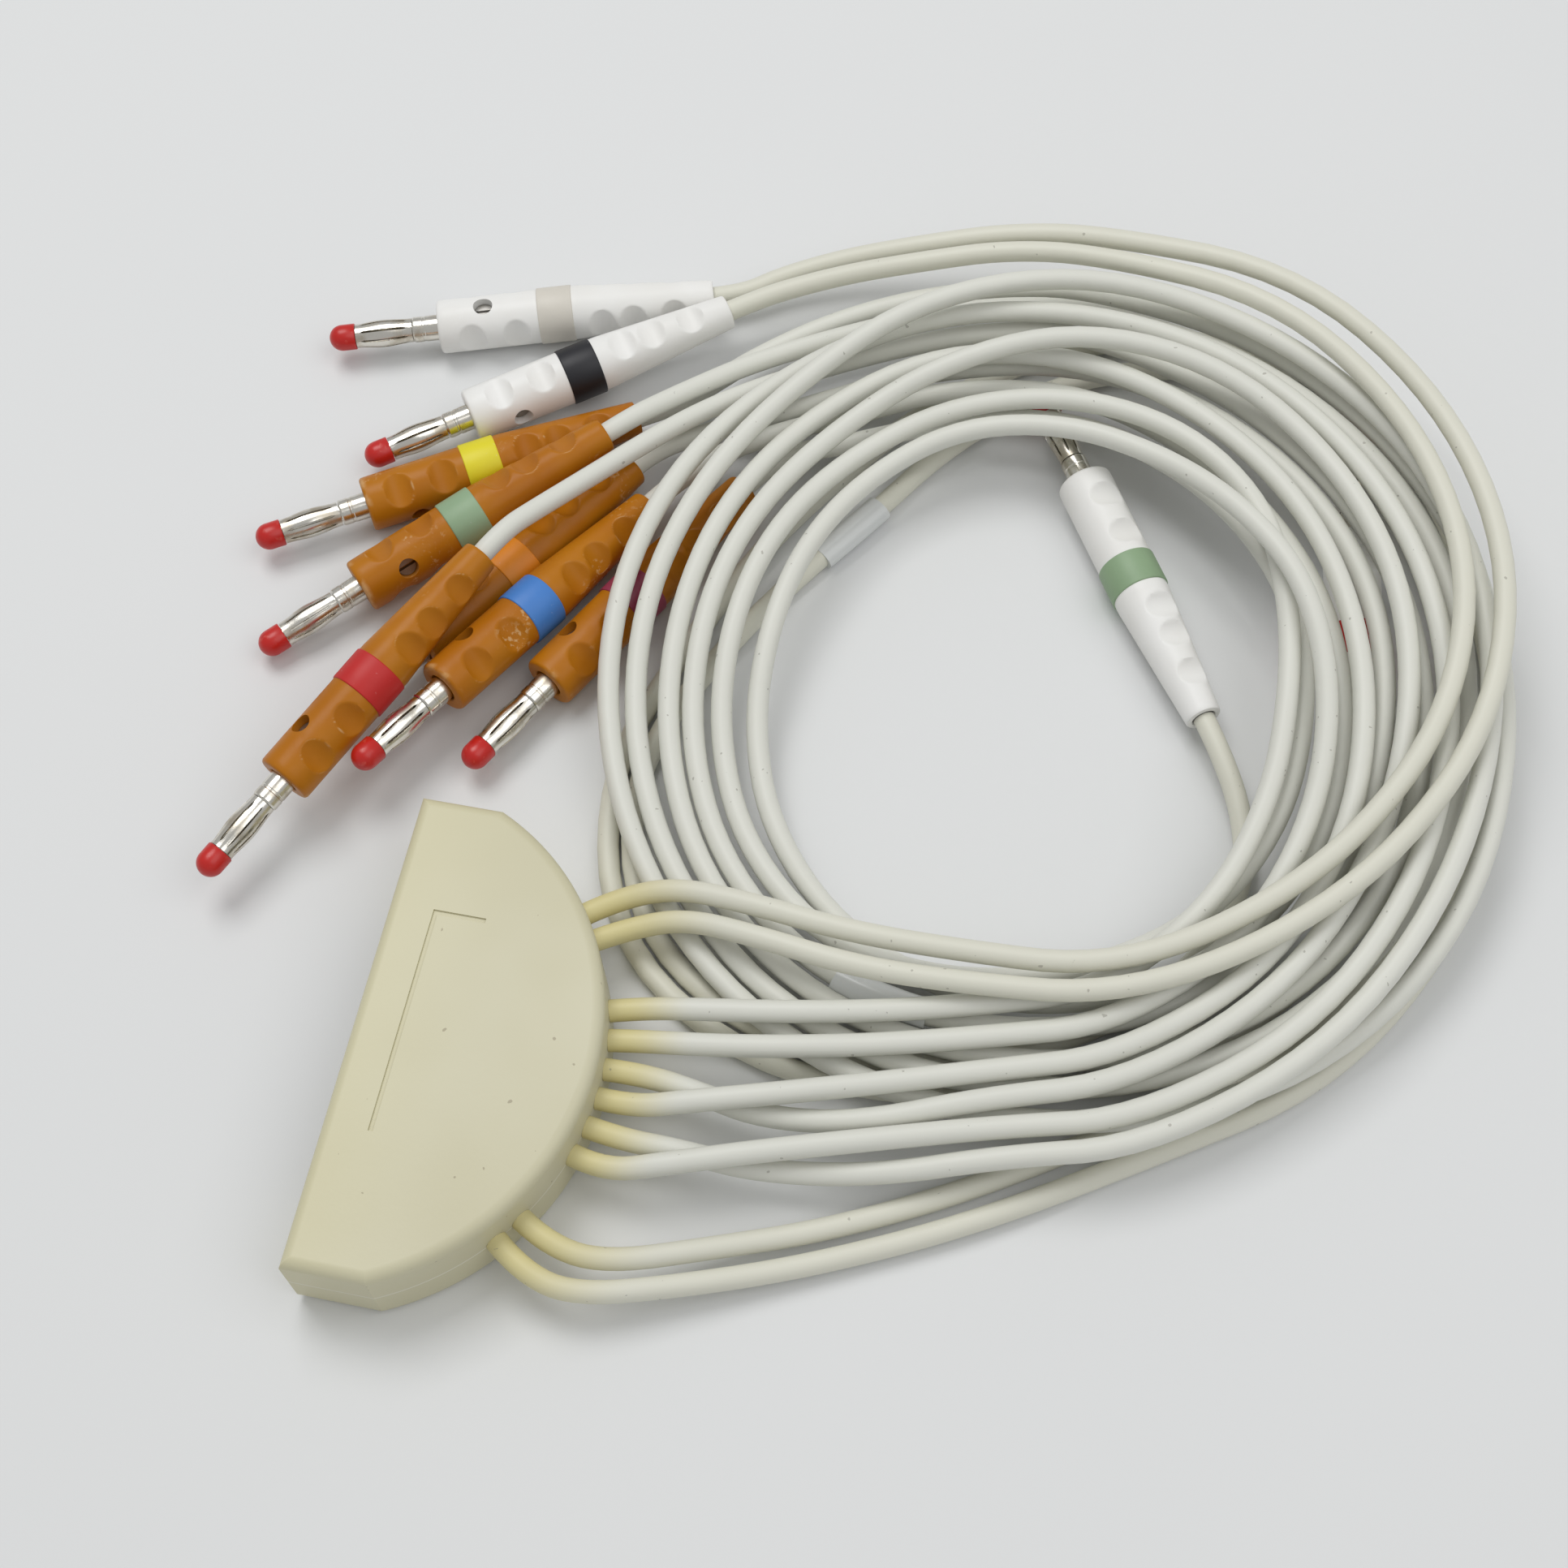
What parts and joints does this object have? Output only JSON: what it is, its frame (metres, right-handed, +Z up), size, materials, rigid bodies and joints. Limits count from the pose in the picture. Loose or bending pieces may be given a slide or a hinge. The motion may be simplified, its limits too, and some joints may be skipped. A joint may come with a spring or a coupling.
{
  "type": "ecg patient lead cable",
  "caption": "D-shaped connector block with thin patient leads in a loose coil, each ending in a colour-banded banana plug with a leaf-spring pin.",
  "frame": {"origin": "under the middle of the connector block, on the surface it lies on", "axes": "+X from the block towards the leads, +Y along the block's straight side, +Z up"},
  "size_m": [0.1926, 0.1834, 0.0201],
  "materials": {
    "housing": "fine moulded satin",
    "insert": "plain",
    "contact": "bright",
    "lead": "soft satin jacket",
    "handle_brown": "worn gloss",
    "handle_white": "worn gloss",
    "band": "one colour for each lead",
    "nickel": "nickel plate",
    "tip": "gloss"
  },
  "bodies": {
    "cable": {"housing_lower": "housing", "housing_upper": "housing", "contact_block": "insert", "contact_pins": "contact", "plug_pins": "nickel", "id_bands": "band", "plug_tips": "tip", "handle_LA": "handle_white", "lead_LA": "lead", "handle_RA": "handle_white", "lead_RA": "lead", "handle_V6": "handle_brown", "lead_V6": "lead", "handle_V4": "handle_brown", "lead_V4": "lead", "handle_V5": "handle_brown", "lead_V5": "lead", "handle_V1": "handle_brown", "lead_V1": "lead", "handle_V3": "handle_brown", "lead_V3": "lead", "handle_V2": "handle_brown", "lead_V2": "lead", "handle_RL": "handle_white", "lead_RL": "lead", "handle_LL": "handle_white", "lead_LL": "lead"},
    "spring_LA": {"cage_LA": "nickel"},
    "spring_RA": {"cage_RA": "nickel"},
    "spring_V6": {"cage_V6": "nickel"},
    "spring_V4": {"cage_V4": "nickel"},
    "spring_V5": {"cage_V5": "nickel"},
    "spring_V1": {"cage_V1": "nickel"},
    "spring_V3": {"cage_V3": "nickel"},
    "spring_V2": {"cage_V2": "nickel"},
    "spring_RL": {"cage_RL": "nickel"},
    "spring_LL": {"cage_LL": "nickel"}
  },
  "joints": [
    {"name": "cage_spin_LA", "type": "hinge", "parent": "cable", "child": "spring_LA", "pos_m": [-0.03729, 0.09655, 0.00423], "axis": [-0.8132, -0.5801, -0.0471], "continuous": true},
    {"name": "cage_spin_RA", "type": "hinge", "parent": "cable", "child": "spring_RA", "pos_m": [-0.04793, 0.11488, 0.00435], "axis": [-0.9511, -0.309, 0], "continuous": true},
    {"name": "cage_spin_V6", "type": "hinge", "parent": "cable", "child": "spring_V6", "pos_m": [-0.01085, 0.05066, 0.00435], "axis": [-0.4772, -0.8788, 0], "continuous": true},
    {"name": "cage_spin_V4", "type": "hinge", "parent": "cable", "child": "spring_V4", "pos_m": [-0.02447, 0.04494, 0.0093], "axis": [-0.4832, -0.8717, 0.0819], "continuous": true},
    {"name": "cage_spin_V5", "type": "hinge", "parent": "cable", "child": "spring_V5", "pos_m": [-0.03111, 0.05322, 0.00435], "axis": [-0.5373, -0.8434, 0], "continuous": true},
    {"name": "cage_spin_V1", "type": "hinge", "parent": "cable", "child": "spring_V1", "pos_m": [-0.04189, 0.02599, 0.00823], "axis": [-0.4436, -0.8897, -0.108], "continuous": true},
    {"name": "cage_spin_V3", "type": "hinge", "parent": "cable", "child": "spring_V3", "pos_m": [-0.04423, 0.06277, 0.0038], "axis": [-0.7035, -0.7035, -0.1011], "continuous": true},
    {"name": "cage_spin_V2", "type": "hinge", "parent": "cable", "child": "spring_V2", "pos_m": [-0.04892, 0.07878, 0.00435], "axis": [-0.848, -0.5299, 0], "continuous": true},
    {"name": "cage_spin_RL", "type": "hinge", "parent": "cable", "child": "spring_RL", "pos_m": [0.05888, 0.11522, 0.00435], "axis": [-0.5299, 0.848, 0], "continuous": true},
    {"name": "cage_spin_LL", "type": "hinge", "parent": "cable", "child": "spring_LL", "pos_m": [0.10224, 0.11342, 0.00435], "axis": [-0.1478, 0.989, 0], "continuous": true}
  ]
}
